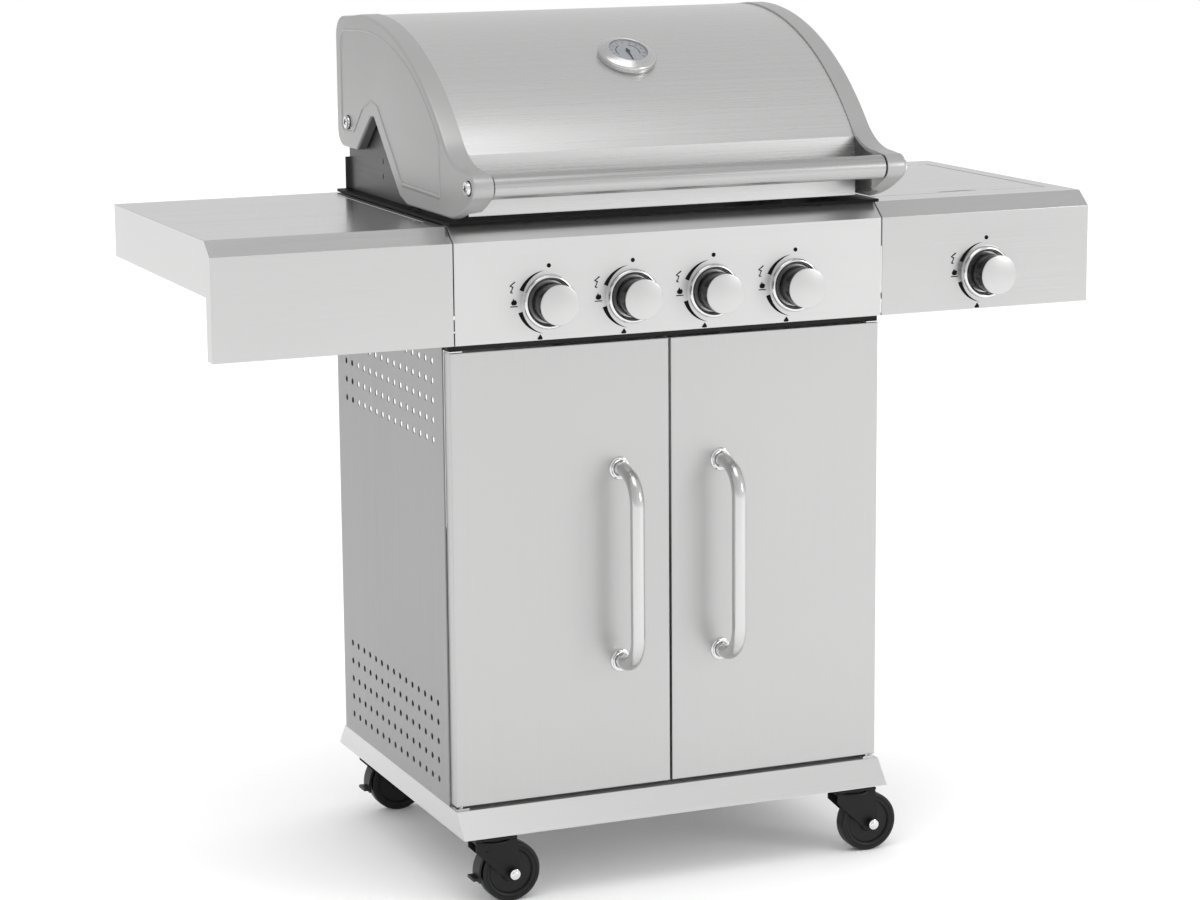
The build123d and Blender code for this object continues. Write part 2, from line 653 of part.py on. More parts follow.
def cap_outline():
    """Side view of an end cap: nose, bottom edge, V notch, rear lobe and domed top."""
    nose_top = (bar_y + nose_r * cos(radians(80)), bar_z + nose_r * sin(radians(80)))
    nose_tip = (bar_y - nose_r, bar_z)
    nose_low = (bar_y + nose_r * cos(radians(240)), bar_z + nose_r * sin(radians(240)))
    chin = (front, cap_low_z)
    lobe_y = lid_back_y + 3
    pts = [chin, (front + 172, cap_low_z), (front + 202, 953), (front + 306, hump_z),
           (front + 318, hump_z), (front + 382, heel_z), (front + 442, heel_z)]
    FilletPolyline(*pts, radius=6)
    ThreePointArc((front + 442, heel_z), (lobe_y - 7, heel_z + 8), (lobe_y, heel_z + 27))
    Line((lobe_y, heel_z + 27), (lobe_y, 1156))
    ThreePointArc((lobe_y, 1156), (lobe_y - 11, 1178), (front + 423, 1188))
    crown = (front + 361, over_lid(front + 361))
    Line((front + 423, 1188), crown)
    brow = (front + 30, over_lid(front + 30))
    ThreePointArc(crown, (front + 170, over_lid(front + 170)), brow)
    bridge = (front - 50, 1010.5)
    ThreePointArc(brow, (front + 2, 1025), bridge)
    Line(bridge, nose_top)
    ThreePointArc(nose_top, nose_tip, nose_low)
    ThreePointArc(nose_low, (front - 44, 957), chin)


cap_deep = cap_x - lid_x
bar_bolt_r = 3.0
cap_wall = 3.5
rim_in = 14.0              # depth of the cap's edge below the deep part
with BuildPart() as left_lid_cap:
    with BuildSketch(Plane.YZ.offset(-cap_x)):
        with BuildLine():
            cap_outline()
        make_face()
    extrude(amount=cap_deep)
    with BuildSketch(Plane.YZ.offset(-cap_x + cap_wall)):
        with BuildLine():
            cap_outline()
        make_face()
        offset(amount=-5, mode=Mode.REPLACE)
        with Locations((front - 80, bar_z)):
            Rectangle(90, 120, mode=Mode.SUBTRACT)
    extrude(amount=cap_deep, mode=Mode.SUBTRACT)
    with BuildSketch(Plane.YZ.offset(-cap_x + rim_in)):
        with BuildLine():
            Polyline((front - 36, 975), (front, 1008), (front + 40, 1040), (front + 150, 1125),
                     (front + 330, 1168), (front + 435, 1166), (front + 600, 1166),
                     (front + 600, 900), (front - 36, 900), close=True)
        make_face()
    extrude(amount=cap_deep, mode=Mode.SUBTRACT)
    boss_l = cap_x - wing_x - 0.8
    with Locations(Plane((-cap_x + boss_l / 2, hinge_y, hinge_z), z_dir=(1, 0, 0))):
        Cylinder(13, boss_l)
    with Locations(Plane((-cap_x, hinge_y, hinge_z), z_dir=(1, 0, 0))):
        Cylinder(bolt_r, 60, mode=Mode.SUBTRACT)
    with Locations(Plane((-cap_x, bar_y, bar_z), z_dir=(1, 0, 0))):
        Cylinder(bar_bolt_r, 40, mode=Mode.SUBTRACT)
save(left_lid_cap.part, "left_lid_cap")

with BuildPart() as right_lid_cap:
    mirror(left_lid_cap.part, about=Plane.YZ)
save(right_lid_cap.part, "right_lid_cap")

with BuildPart() as lid_handle:
    with Locations(Plane((0, bar_y, bar_z), z_dir=(1, 0, 0))):
        Cylinder(bar_r, 2 * lid_x)
        Cylinder(bar_r - 1.5, 2 * lid_x, mode=Mode.SUBTRACT)
save(lid_handle.part, "lid_handle")

with BuildPart() as lid_bolts:
    for side in (-1, 1):
        for length, r, y, z in ((27, bolt_r, hinge_y, hinge_z), (20, bar_bolt_r, bar_y, bar_z)):
            with Locations(Plane((side * (cap_x - length / 2), y, z), z_dir=(1, 0, 0))):
                Cylinder(r, length)
            with Locations(Plane((side * (cap_x + 2.5), y, z), z_dir=(1, 0, 0))):
                Cylinder(8.5, 5)
        with BuildSketch(Plane((side * (cap_x - 19.5), hinge_y, hinge_z), z_dir=(-side, 0, 0))):
            RegularPolygon(7.5, 6)
        extrude(amount=6)
save(lid_bolts.part, "lid_bolts")

# ---- thermometer on the lid: ring-shaped case with an open dial and a turning needle ----
gauge_r = 41.0
dial_r = 29.0
dial_depth = 9.0           # dial's height above the lid's sheet
gauge_plane = Plane((0, gauge_y, gauge_z), x_dir=(1, 0, 0), z_dir=gauge_n)
with BuildPart() as thermometer:
    with BuildSketch(gauge_plane.offset(-3)):
        Circle(gauge_r)
    extrude(amount=17)
    with BuildSketch(gauge_plane.offset(dial_depth)):
        Circle(dial_r)
    extrude(amount=8, mode=Mode.SUBTRACT)
    with Locations(Plane((0, arc_y, arc_z), z_dir=(1, 0, 0))):
        Cylinder(arc_r, 200, mode=Mode.SUBTRACT)
    with BuildSketch(gauge_plane.offset(-40)):
        Circle(4)
    extrude(amount=44)
    with BuildSketch(gauge_plane.offset(dial_depth)):
        Circle(1)
    extrude(amount=3)
save(thermometer.part, "thermometer")

with BuildPart() as thermometer_needle:
    with BuildSketch(gauge_plane.offset(10)):
        with BuildLine():
            Polyline((-1.6, 6), (1.6, 6), (0.5, -22), (-0.5, -22), close=True)
        make_face()
        Circle(3)
        Circle(1 + run, mode=Mode.SUBTRACT)
    extrude(amount=0.8)
save(thermometer_needle.part, "thermometer_needle")


# ---- casters: fork with its axle, wheel, and a brake pedal on the left pair ----
brake_x, brake_z = -36.0, 33.0   # brake pivot, from the wheel's centre
brake_pin_r = 2.5
leg_y = wheel_w / 2 + 2.5        # inner face of a fork leg


def caster_fork(x, y, brake):
    """Swivelling fork: top plate over the wheel, two tapering legs and the axle."""
    axle = (x + trail, wheel_r)
    with BuildPart() as fork:
        with Locations((x, y, fork_top - 1.2)):
            Cylinder(26, 2.4)
        with Locations((x + 2, y, fork_top - 1.2)):
            Box(60, 2 * leg_y + 4, 2.4)
        with Locations((x, y, fork_top)):
            Cylinder(king_r + run, 10, mode=Mode.SUBTRACT)
        for side in (-1, 1):
            with BuildSketch(Plane.XZ.offset(-(y + side * (leg_y + 1)) - 1)):
                with BuildLine():
                    Polyline((x - 28, fork_top), (x + 32, fork_top), (axle[0] + 11, axle[1] + 4),
                             (axle[0] - 9, axle[1] - 8), (x - 28, fork_top - 14), close=True)
                make_face()
                with Locations(axle):
                    Circle(12)
            extrude(amount=2)
        with Locations(Plane((axle[0], y, axle[1]), z_dir=(0, 1, 0))):
            Cylinder(axle_r, 2 * leg_y + 12)
        for side in (-1, 1):
            with Locations(Plane((axle[0], y + side * (leg_y + 4.5), axle[1]), z_dir=(0, 1, 0))):
                Cylinder(7, 5)
        if brake:
            with Locations(Plane((axle[0] + brake_x, y, axle[1] + brake_z), z_dir=(0, 1, 0))):
                Cylinder(brake_pin_r, 2 * leg_y + 6)
    return fork.part


def caster_wheel(x, y):
    """Wheel with a rounded tread and a recessed web on each face."""
    with BuildPart() as wheel:
        with Locations(Plane((x + trail, y, wheel_r), z_dir=(0, 1, 0))):
            Cylinder(wheel_r, wheel_w)
        fillet(wheel.edges().filter_by(GeomType.CIRCLE), 4)
        for side in (-1, 1):
            with BuildSketch(Plane((x + trail, y + side * wheel_w / 2, wheel_r), z_dir=(0, side, 0))):
                Circle(32)
                Circle(14, mode=Mode.SUBTRACT)
            extrude(amount=-3, mode=Mode.SUBTRACT)
        with Locations(Plane((x + trail, y, wheel_r), z_dir=(0, 1, 0))):
            Cylinder(axle_r + run, wheel_w + 2, mode=Mode.SUBTRACT)
    return wheel.part


def brake_pedal(x, y):
    """Curved pedal behind the wheel, hung on a pin through the fork."""
    axle = (x + trail, wheel_r)
    r0 = wheel_r + 3
    r1 = r0 + 3
    a0, a1 = radians(131), radians(193)
    mid = (a0 + a1) / 2
    with BuildPart() as pedal:
        with BuildSketch(Plane((0, y, 0), x_dir=(1, 0, 0), z_dir=(0, -1, 0))):
            with BuildLine():
                inner = [(axle[0] + r0 * cos(a), axle[1] + r0 * sin(a)) for a in (a0, mid, a1)]
                outer = [(axle[0] + r1 * cos(a), axle[1] + r1 * sin(a)) for a in (a1, mid, a0)]
                ThreePointArc(*inner)
                Line(inner[2], outer[0])
                ThreePointArc(*outer)
                Line(outer[2], inner[0])
            make_face()
            with Locations((axle[0] + brake_x, axle[1] + brake_z)):
                Circle(4.6)
            with Locations((axle[0] - r1 - 3, axle[1] - 5)):
                Rectangle(9, 4)
            with Locations((axle[0] + brake_x, axle[1] + brake_z)):
                Circle(brake_pin_r + run, mode=Mode.SUBTRACT)
        extrude(amount=wheel_w / 2, both=True)
    return pedal.part


corners = [("front_left", -1, 0), ("front_right", 1, 0), ("rear_left", -1, 1), ("rear_right", 1, 1)]
for label, side, row in corners:
    x, y = side * caster_x, caster_ys[row]
    save(caster_fork(x, y, side < 0), label + "_caster_fork")
    save(caster_wheel(x, y), label + "_wheel")
    if side < 0:
        save(brake_pedal(x, y), label + "_brake")

# ---- grease tray: slides out at the back on two angle runners under the firebox ----
tray_x = 110.0
tray_z0, tray_z1 = 752.0, 774.0
tray_y0, tray_y1 = box_y0 + 20, box_y1 + 4
with BuildPart() as grease_tray:
    add(block(-tray_x, tray_x, tray_y0, tray_y1, tray_z0, tray_z1))
    offset(amount=-sheet, openings=grease_tray.faces().sort_by(Axis.Z)[-1])
    add(block(-60, 60, tray_y1, tray_y1 + 14, tray_z1 - 4, tray_z1 - 2))
save(grease_tray.part, "grease_tray")

runner_x = tray_x + 2.0    # inner faces of the runners' upright legs
ledge_x = tray_x - 8       # inner edges of their ledges
ledge_z = tray_z0 - gap
with BuildPart() as tray_runners:
    with BuildSketch(Plane.XZ.offset(-tray_y0)):
        for side in (-1, 1):
            outer_x = runner_x + sheet
            with BuildLine():
                Polyline((side * runner_x, under_firebox(runner_x)),
                         (side * outer_x, under_firebox(outer_x)),
                         (side * outer_x, ledge_z - sheet), (side * ledge_x, ledge_z - sheet),
                         (side * ledge_x, ledge_z), (side * runner_x, ledge_z), close=True)
            make_face()
    extrude(amount=-(box_y1 - tray_y0))
save(tray_runners.part, "tray_runners")

print(len(written), "nodes")
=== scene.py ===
import json
from math import atan2, cos, pi, radians, sin, sqrt

import bmesh
import bpy
from mathutils import Matrix, Vector


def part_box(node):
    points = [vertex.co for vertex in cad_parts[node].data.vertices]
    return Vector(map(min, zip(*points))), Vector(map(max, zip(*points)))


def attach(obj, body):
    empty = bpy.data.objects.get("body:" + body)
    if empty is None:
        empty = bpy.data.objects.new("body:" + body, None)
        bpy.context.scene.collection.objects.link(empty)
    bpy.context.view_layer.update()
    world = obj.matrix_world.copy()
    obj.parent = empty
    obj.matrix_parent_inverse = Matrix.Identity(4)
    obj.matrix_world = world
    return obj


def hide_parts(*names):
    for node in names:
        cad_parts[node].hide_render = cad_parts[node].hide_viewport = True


# Looks of the gas barbecue grill. Metres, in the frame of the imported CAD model.

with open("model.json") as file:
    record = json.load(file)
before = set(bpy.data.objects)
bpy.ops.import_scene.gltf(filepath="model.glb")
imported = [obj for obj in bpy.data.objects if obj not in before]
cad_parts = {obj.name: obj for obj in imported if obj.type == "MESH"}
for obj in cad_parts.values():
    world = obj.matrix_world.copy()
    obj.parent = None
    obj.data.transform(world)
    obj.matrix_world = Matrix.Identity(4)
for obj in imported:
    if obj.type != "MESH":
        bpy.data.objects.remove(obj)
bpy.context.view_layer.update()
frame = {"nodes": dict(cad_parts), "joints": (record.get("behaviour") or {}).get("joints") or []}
nodes = frame["nodes"]
MM = 0.001


# ---------------------------------------------------------------- materials
def node(tree, kind, **values):
    """Adds a shader node. Values go to inputs of the same name, or to attributes."""
    made = tree.nodes.new(kind)
    for key, value in values.items():
        if key in made.inputs:
            made.inputs[key].default_value = value
        else:
            setattr(made, key, value)
    return made


def start_material(name):
    mat = bpy.data.materials.new(name)
    mat.use_nodes = True
    tree = mat.node_tree
    return mat, tree, tree.nodes["Principled BSDF"]


def stretched_noise(tree, scale, detail=3.0):
    """Noise in the row frame, with its own scale along X, Y and Z."""
    coords = node(tree, "ShaderNodeTexCoord")
    mapping = node(tree, "ShaderNodeMapping")
    mapping.inputs["Scale"].default_value = scale
    tree.links.new(coords.outputs["Object"], mapping.inputs["Vector"])
    noise = node(tree, "ShaderNodeTexNoise", Scale=1.0, Detail=detail)
    tree.links.new(mapping.outputs["Vector"], noise.inputs["Vector"])
    return noise


def spread(tree, source, low, high):
    """Maps a noise output to a narrow range of values."""
    ramp = node(tree, "ShaderNodeMapRange")
    ramp.inputs["From Min"].default_value = 0.3
    ramp.inputs["From Max"].default_value = 0.7
    ramp.inputs["To Min"].default_value = low
    ramp.inputs["To Max"].default_value = high
    tree.links.new(source, ramp.inputs["Value"])
    return ramp.outputs["Result"]


def surface(name, colour, rough, metallic=0.0, grain=(60, 60, 60), vary=0.03, rough_vary=0.05,
            bump=0.05, bump_scale=0.0002, edge=0.0, **sockets):
    """Principled material whose colour, roughness and bump follow a stretched grain."""
    mat, tree, bsdf = start_material(name)
    bsdf.inputs["Metallic"].default_value = metallic
    for key, value in sockets.items():
        bsdf.inputs[key.replace("_", " ")].default_value = value
    fine = stretched_noise(tree, grain)
    broad = stretched_noise(tree, (2.3, 2.9, 1.7), 1.0)
    total = node(tree, "ShaderNodeMath", operation="ADD")
    tree.links.new(spread(tree, fine.outputs["Fac"], 1 - vary, 1 + vary), total.inputs[0])
    tree.links.new(spread(tree, broad.outputs["Fac"], -vary, vary), total.inputs[1])
    tint = node(tree, "ShaderNodeVectorMath", operation="SCALE")
    tint.inputs[0].default_value = colour
    tree.links.new(total.outputs[0], tint.inputs["Scale"])
    tree.links.new(tint.outputs[0], bsdf.inputs["Base Color"])
    tree.links.new(spread(tree, fine.outputs["Fac"], rough - rough_vary, rough + rough_vary),
                   bsdf.inputs["Roughness"])
    relief = node(tree, "ShaderNodeBump", Strength=bump, Distance=bump_scale)
    tree.links.new(fine.outputs["Fac"], relief.inputs["Height"])
    if edge:
        rounded = node(tree, "ShaderNodeBevel", samples=6, Radius=edge)
        tree.links.new(rounded.outputs["Normal"], relief.inputs["Normal"])
    tree.links.new(relief.outputs["Normal"], bsdf.inputs["Normal"])
    return mat


along_x, along_y, along_z = (3, 900, 900), (900, 3, 900), (900, 900, 3)
FOLD = 0.0012
# Doors, panel, shelves, lid and plinth are one brushed stainless steel; their different base colours are painted
# light and shade, each set to how bright that face looks under the lights.
steel_door = surface("steel_door", (0.505, 0.505, 0.503), 0.36, 0.85, along_z, 0.018, bump=0.03, edge=FOLD)
steel_panel = surface("steel_panel", (0.600, 0.600, 0.598), 0.34, 0.85, along_x, 0.015, bump=0.03, edge=FOLD)
steel_shelf = surface("steel_shelf", (0.550, 0.550, 0.548), 0.20, 0.85, along_x, 0.015, bump=0.02, edge=FOLD)
steel_lid = surface("steel_lid", (0.620, 0.620, 0.618), 0.30, 0.9, along_x, 0.008, bump=0.02, edge=FOLD)
# The side, rear and door-back sheets are the same steel painted much darker: painted shade for faces turned away
# from the light.
steel_side_shaded = surface("steel_side_shaded", (0.325, 0.325, 0.324), 0.38, 0.85, along_z, 0.018, bump=0.03, edge=0.0008)
steel_base = surface("steel_base", (0.670, 0.670, 0.668), 0.36, 0.85, along_x, 0.018, bump=0.03, edge=FOLD)
steel_bar = surface("steel_bar", (0.450, 0.450, 0.448), 0.28, 0.95, along_x, 0.02, bump=0.03)
steel_bow = surface("steel_bow", (0.600, 0.600, 0.598), 0.20, 1.0, along_z, 0.02, bump=0.02)
steel_case = surface("steel_case", (0.600, 0.600, 0.598), 0.24, 1.0, (300, 300, 300), 0.02, bump=0.02)
steel_dull = surface("steel_dull", (0.42, 0.42, 0.415), 0.45, 0.9, along_y, edge=0.0008)
chrome = surface("chrome", (0.74, 0.74, 0.74), 0.12, 1.0, (9, 9, 9), 0.01, 0.02, bump=0.01)
knob_disc = surface("knob_disc", (0.560, 0.560, 0.558), 0.30, 0.9, (900, 900, 900), 0.004, 0.01, bump=0.004)
cast_cap = surface("cast_cap", (0.400, 0.400, 0.398), 0.36, 0.60, (900, 900, 900), 0.02, bump=0.06,
                   bump_scale=0.0001)
black_steel = surface("black_steel", (0.006, 0.006, 0.006), 0.42, 0.0, (500, 500, 500), edge=0.0008,
                      Specular_IOR_Level=0.25)
# Near-black, dull; on the strip in the side-burner cover gap it is painted shadow.
rim_black_and_gap_shadow = surface("rim_black_and_gap_shadow", (0.003, 0.003, 0.003), 0.5, 0.0, (500, 500, 500), Specular_IOR_Level=0.12)
# Also colours the cover's finger-notch crescent, where it is painted shade.
wing_grey = surface("wing_grey", (0.095, 0.095, 0.094), 0.40, 0.6, (6, 6, 300), 0.10, edge=0.0008)
cast_iron = surface("cast_iron", (0.018, 0.018, 0.019), 0.55, 0.1, (500, 500, 500), vary=0.3, bump=0.5,
                    bump_scale=0.0004, edge=0.0012)
brass = surface("brass", (0.60, 0.44, 0.20), 0.35, 1.0, (200, 200, 200), edge=0.0008)
knob_black = surface("knob_black", (0.006, 0.006, 0.006), 0.22, 0.0, (300, 300, 300), Specular_IOR_Level=0.3)
wheel_black = surface("wheel_black", (0.007, 0.007, 0.0075), 0.42, 0.0, (400, 400, 400), bump=0.15,
                      Specular_IOR_Level=0.3)
# Black for print; on the screw heads it is painted shade of the cross recesses.
print_black_and_recess_shade = surface("print_black_and_recess_shade", (0.004, 0.004, 0.004), 0.6, 0.0, (300, 300, 300), Specular_IOR_Level=0.1)
dial_white = surface("dial_white", (0.86, 0.90, 0.97), 0.35, 0.0, (200, 200, 200), vary=0.01)
floor_mat = surface("floor_pale", (0.97, 0.97, 0.97), 0.9, 0.0, (6, 6, 6), vary=0.003, bump=0.0,
                    Specular_IOR_Level=0.0)

glass, glass_tree, glass_bsdf = start_material("gauge_glass")
glass_bsdf.inputs["Transmission Weight"].default_value = 1.0
glass_bsdf.inputs["IOR"].default_value = 1.45
smudge = stretched_noise(glass_tree, (40, 40, 40))
glass_tree.links.new(spread(glass_tree, smudge.outputs["Fac"], 0.01, 0.05), glass_bsdf.inputs["Roughness"])

node_looks = {
    "base_tray": steel_base, "caster_rails": black_steel, "caster_plates": black_steel,
    "left_side_panel": steel_side_shaded, "right_side_panel": steel_side_shaded, "rear_panel": steel_side_shaded,
    "front_beam": black_steel, "door_brackets": chrome, "control_panel": steel_panel,
    "left_shelf": steel_shelf, "right_shelf": steel_shelf, "side_burner_cover": steel_shelf,
    "firebox": wing_grey, "firebox_rim": rim_black_and_gap_shadow, "tray_runners": steel_dull, "burners": steel_dull,
    "flame_tamers": steel_dull, "left_grate": cast_iron, "right_grate": cast_iron,
    "warming_rack": chrome, "gas_manifold": steel_dull, "burner_valves": brass,
    "side_burner_bowl": steel_dull, "side_burner": brass, "side_burner_grate": cast_iron,
    "grease_tray": steel_dull, "lid_skin": steel_lid, "left_lid_cap": cast_cap,
    "right_lid_cap": cast_cap, "lid_handle": steel_bar, "lid_bolts": chrome,
    "thermometer": chrome, "thermometer_needle": print_black_and_recess_shade, "knob_bezels": chrome,
}
for name, obj in nodes.items():
    look = node_looks.get(name)
    if name.endswith("_door_back"):
        look = steel_side_shaded
    elif name.endswith("_door"):
        look = steel_door
    elif name.endswith("_handle") and "door" in name:
        look = chrome
    elif name.startswith("knob_") and look is None:
        look = knob_black
    elif name.startswith("valve_stem"):
        look = brass
    elif name.endswith("_fork"):
        look = black_steel
    elif name.endswith("_wheel") or name.endswith("_brake"):
        look = wheel_black
    obj.data.materials.clear()
    obj.data.materials.append(look)


# ---------------------------------------------------------------- mesh helpers
def piece(name, mesh, mat, body, smooth_angle=35.0):
    """Makes an object of a bmesh and lets it ride on a body."""
    data = bpy.data.meshes.new(name)
    bmesh.ops.recalc_face_normals(mesh, faces=mesh.faces)
    mesh.to_mesh(data)
    mesh.free()
    for polygon in data.polygons:
        polygon.use_smooth = True
    data.set_sharp_from_angle(angle=radians(smooth_angle))
    data.materials.append(mat)
    obj = bpy.data.objects.new(name, data)
    bpy.context.scene.collection.objects.link(obj)
    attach(obj, body)
    return obj


def basis(axis, up=(0, 0, 1)):
    """Right-handed axes whose third one is axis."""
    w = Vector(axis).normalized()
    u = Vector(up).cross(w)
    if u.length < 1e-6:
        u = Vector((1, 0, 0))
    u.normalize()
    return u, w.cross(u), w


def lathe(profile, origin, axis, segments=96, closed=True):
    """Turns a (radius, height) profile, in millimetres, about an axis."""
    u, v, w = basis(axis)
    origin = Vector(origin)
    mesh = bmesh.new()
    rings = []
    for radius, height in profile:
        if radius < 1e-6:
            rings.append([mesh.verts.new(origin + w * height * MM)])
            continue
        rings.append([
            mesh.verts.new(origin + (u * cos(a) + v * sin(a)) * radius * MM + w * height * MM)
            for a in (2 * pi * i / segments for i in range(segments))])
    pairs = list(zip(rings, rings[1:]))
    if closed:
        pairs.append((rings[-1], rings[0]))
    for one, two in pairs:
        for i in range(segments):
            j = (i + 1) % segments
            if len(one) == 1 and len(two) == 1:
                break
            if len(one) == 1:
                mesh.faces.new((one[0], two[i], two[j]))
            elif len(two) == 1:
                mesh.faces.new((one[i], one[j], two[0]))
            else:
                mesh.faces.new((one[i], one[j], two[j], two[i]))
    return mesh


def tube(path, radius, segments=32, caps=True):
    """Round tube along a list of points, in metres."""
    mesh = bmesh.new()
    rings = []
    for i, point in enumerate(path):
        before = path[max(i - 1, 0)]
        after = path[min(i + 1, len(path) - 1)]
        u, v, w = basis(after - before, up=(1, 0, 0))
        rings.append([
            mesh.verts.new(point + (u * cos(a) + v * sin(a)) * radius)
            for a in (2 * pi * k / segments for k in range(segments))])
    for one, two in zip(rings, rings[1:]):
        for k in range(segments):
            j = (k + 1) % segments
            mesh.faces.new((one[k], one[j], two[j], two[k]))
    if caps:
        mesh.faces.new(rings[0])
        mesh.faces.new(rings[-1])
    return mesh


def slab(outline, origin, u, v, thickness, bevel=0.0):
    """Flat plate: an outline of (u, v) points in millimetres, thickened along u x v."""
    u, v = Vector(u), Vector(v)
    w = u.cross(v).normalized()
    origin = Vector(origin)
    mesh = bmesh.new()
    low = [mesh.verts.new(origin + (u * a + v * b) * MM) for a, b in outline]
    mesh.faces.new(low)
    grown = bmesh.ops.extrude_face_region(mesh, geom=mesh.faces[:])
    top = [g for g in grown["geom"] if isinstance(g, bmesh.types.BMVert)]
    bmesh.ops.translate(mesh, verts=top, vec=w * thickness * MM)
    if bevel:
        tops = set(top)
        edges = [e for e in mesh.edges if e.verts[0] in tops and e.verts[1] in tops]
        bmesh.ops.bevel(mesh, geom=edges, offset=bevel * MM, segments=3, affect="EDGES")
    return mesh


def ring_arc(r0, r1, a0, a1, steps=24, taper=False):
    """Outline of an arc-shaped mark. A tapered one narrows to a point at a0."""
    outer, inner = [], []
    for i in range(steps + 1):
        t = i / steps
        a = radians(a0 + (a1 - a0) * t)
        middle = (r0 + r1) / 2
        half = (r1 - r0) / 2 * (t if taper else 1)
        half = max(half, 0.05)
        outer.append(((middle + half) * cos(a), (middle + half) * sin(a)))
        inner.append(((middle - half) * cos(a), (middle - half) * sin(a)))
    return outer + inner[::-1]


# ---------------------------------------------------------------- camera and light
YAW, PITCH, ROLL = radians(22.712), radians(10.945), radians(-0.475)
DOOR_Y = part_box("left_door")[0].y
EYE = Vector((-1.7857, DOOR_Y - 4.0165, 1.4582))
forward = Vector((sin(YAW) * cos(PITCH), cos(YAW) * cos(PITCH), -sin(PITCH)))
level = Vector((cos(YAW), -sin(YAW), 0))
upward = level.cross(forward)
right = level * cos(ROLL) + upward * sin(ROLL)
up = upward * cos(ROLL) - level * sin(ROLL)
camera_data = bpy.data.cameras.new("camera")
camera_data.sensor_width = 36.0
camera_data.lens = 97.644
camera_data.clip_end = 60.0
camera = bpy.data.objects.new("camera", camera_data)
camera.matrix_world = Matrix((
    (right.x, up.x, -forward.x, EYE.x),
    (right.y, up.y, -forward.y, EYE.y),
    (right.z, up.z, -forward.z, EYE.z),
    (0, 0, 0, 1)))
bpy.context.scene.collection.objects.link(camera)
bpy.context.scene.camera = camera


def softbox(name, place, target, width, height, power):
    data = bpy.data.lights.new(name, "AREA")
    data.shape = "RECTANGLE"
    data.size, data.size_y = width, height
    data.energy = power
    lamp = bpy.data.objects.new(name, data)
    lamp.location = place
    lamp.rotation_euler = (Vector(target) - Vector(place)).to_track_quat("-Z", "Y").to_euler()
    bpy.context.scene.collection.objects.link(lamp)
    return lamp


softbox("key_light", (2.9, -3.4, 1.9), (0, -0.2, 0.6), 0.9, 1.2, 24)
softbox("top_light", (-0.4, -1.2, 3.8), (0, 0, 0.9), 2.6, 2.0, 20)

DIFFUSE_FILL = 1.24        # strength that matt surfaces see, above the gradient that reflects
world = bpy.data.worlds.new("studio")
bpy.context.scene.world = world
world.use_nodes = True
tree = world.node_tree
back = tree.nodes["Background"]
coords = node(tree, "ShaderNodeTexCoord")
split = node(tree, "ShaderNodeSeparateXYZ")
tree.links.new(coords.outputs["Generated"], split.inputs[0])
frontal = node(tree, "ShaderNodeMapRange")
frontal.inputs["From Min"].default_value = -1.0
frontal.inputs["From Max"].default_value = 1.0
frontal.inputs["To Min"].default_value = 0.98
frontal.inputs["To Max"].default_value = 0.84
tree.links.new(split.outputs["Y"], frontal.inputs["Value"])
rising = node(tree, "ShaderNodeMapRange")
rising.inputs["From Min"].default_value = 0.0
rising.inputs["From Max"].default_value = 1.0
rising.inputs["To Min"].default_value = 1.0
rising.inputs["To Max"].default_value = 0.74
tree.links.new(split.outputs["Z"], rising.inputs["Value"])
sideways = node(tree, "ShaderNodeMapRange")
sideways.inputs["From Min"].default_value = -1.0
sideways.inputs["From Max"].default_value = 0.0
sideways.inputs["To Min"].default_value = 0.78
sideways.inputs["To Max"].default_value = 1.0
tree.links.new(split.outputs["X"], sideways.inputs["Value"])
upright = node(tree, "ShaderNodeMath", operation="MULTIPLY")
tree.links.new(frontal.outputs[0], upright.inputs[0])
tree.links.new(rising.outputs[0], upright.inputs[1])
both = node(tree, "ShaderNodeMath", operation="MULTIPLY")
tree.links.new(upright.outputs[0], both.inputs[0])
tree.links.new(sideways.outputs[0], both.inputs[1])
ray = node(tree, "ShaderNodeLightPath")
plain = node(tree, "ShaderNodeMath", operation="MAXIMUM")
tree.links.new(ray.outputs["Is Camera Ray"], plain.inputs[0])
fill = node(tree, "ShaderNodeMath", operation="MULTIPLY")
fill.inputs[1].default_value = DIFFUSE_FILL
tree.links.new(ray.outputs["Is Diffuse Ray"], fill.inputs[0])
tree.links.new(fill.outputs[0], plain.inputs[1])
seen = node(tree, "ShaderNodeMath", operation="MAXIMUM")
tree.links.new(plain.outputs[0], seen.inputs[0])
tree.links.new(both.outputs[0], seen.inputs[1])
tree.links.new(seen.outputs[0], back.inputs["Strength"])
back.inputs["Color"].default_value = (1, 1, 1, 1)
bpy.context.scene.view_settings.view_transform = "Standard"

floor_mesh = bmesh.new()
bmesh.ops.create_grid(floor_mesh, x_segments=8, y_segments=8, size=12.0)
floor_data = bpy.data.meshes.new("floor")
floor_mesh.to_mesh(floor_data)
floor_mesh.free()
floor_data.materials.append(floor_mat)
floor = bpy.data.objects.new("floor", floor_data)
bpy.context.scene.collection.objects.link(floor)


